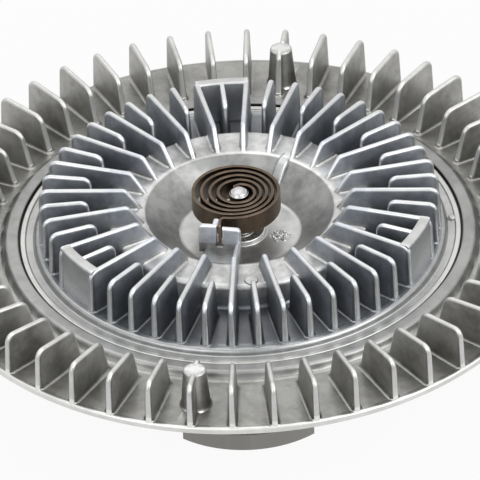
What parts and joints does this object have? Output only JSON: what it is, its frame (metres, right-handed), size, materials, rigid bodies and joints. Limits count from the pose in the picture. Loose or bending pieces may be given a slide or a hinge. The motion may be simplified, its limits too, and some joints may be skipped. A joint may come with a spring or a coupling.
{
  "type": "viscous fan clutch",
  "caption": "Thermostatic viscous fan clutch with a finned housing, finned cover and bimetal coil, turning on a bearing on a slotted hub flange",
  "frame": {"origin": "centre of the hub's mounting face, on the shaft axis", "axes": "+Z along the shaft from the mounting face to the finned cover; +X and +Y through two of the hub's bolt slots"},
  "size_m": [0.21, 0.21, 0.082],
  "materials": {
    "housing_aluminium": "cast, matte",
    "cover_aluminium": "cast, bright",
    "hub_steel": "forged and turned, dark",
    "bright_steel": "ground",
    "bimetal": "rolled strip, brown oxide",
    "seal_rubber": "matte",
    "wiper_plastic": "moulded"
  },
  "bodies": {
    "hub": {"hub_shaft": "hub_steel", "bearing_inner_ring": "bright_steel", "drive_disc": "cover_aluminium", "disc_circlip": "bright_steel"},
    "housing": {"rear_housing": "housing_aluminium", "front_cover": "cover_aluminium", "cover_o_ring": "seal_rubber", "bearing_outer_ring": "bright_steel", "bearing_seal_front": "seal_rubber", "bearing_seal_rear": "seal_rubber", "bearing_circlip": "bright_steel", "pump_plate": "bright_steel", "plate_rivets": "bright_steel", "wiper_block": "wiper_plastic", "bimetal_coil": "bimetal", "fill_plug": "cover_aluminium"},
    "bearing_cage": {"bearing_balls": "bright_steel", "bearing_cage": "bright_steel"},
    "valve": {"valve_shaft": "bright_steel", "valve_arm": "bright_steel", "valve_o_ring": "seal_rubber", "valve_circlip": "bright_steel"}
  },
  "joints": [
    {"name": "housing_spin", "type": "hinge", "parent": "hub", "child": "housing", "pos_m": [0, 0, 0.0365], "axis": [0, 0, 1], "continuous": true},
    {"name": "cage_spin", "type": "hinge", "parent": "hub", "child": "bearing_cage", "pos_m": [0, 0, 0.0365], "axis": [0, 0, 1], "continuous": true},
    {"name": "valve_turn", "type": "hinge", "parent": "housing", "child": "valve", "pos_m": [0, 0, 0.063], "axis": [0, 0, 1], "range_deg": [0, 40], "stiffness_Nm_per_rad": 0.05, "deforming": ["bimetal_coil"]}
  ],
  "couplings": [
    {"joint": "cage_spin", "follows": "housing_spin", "ratio": 0.6039}
  ]
}
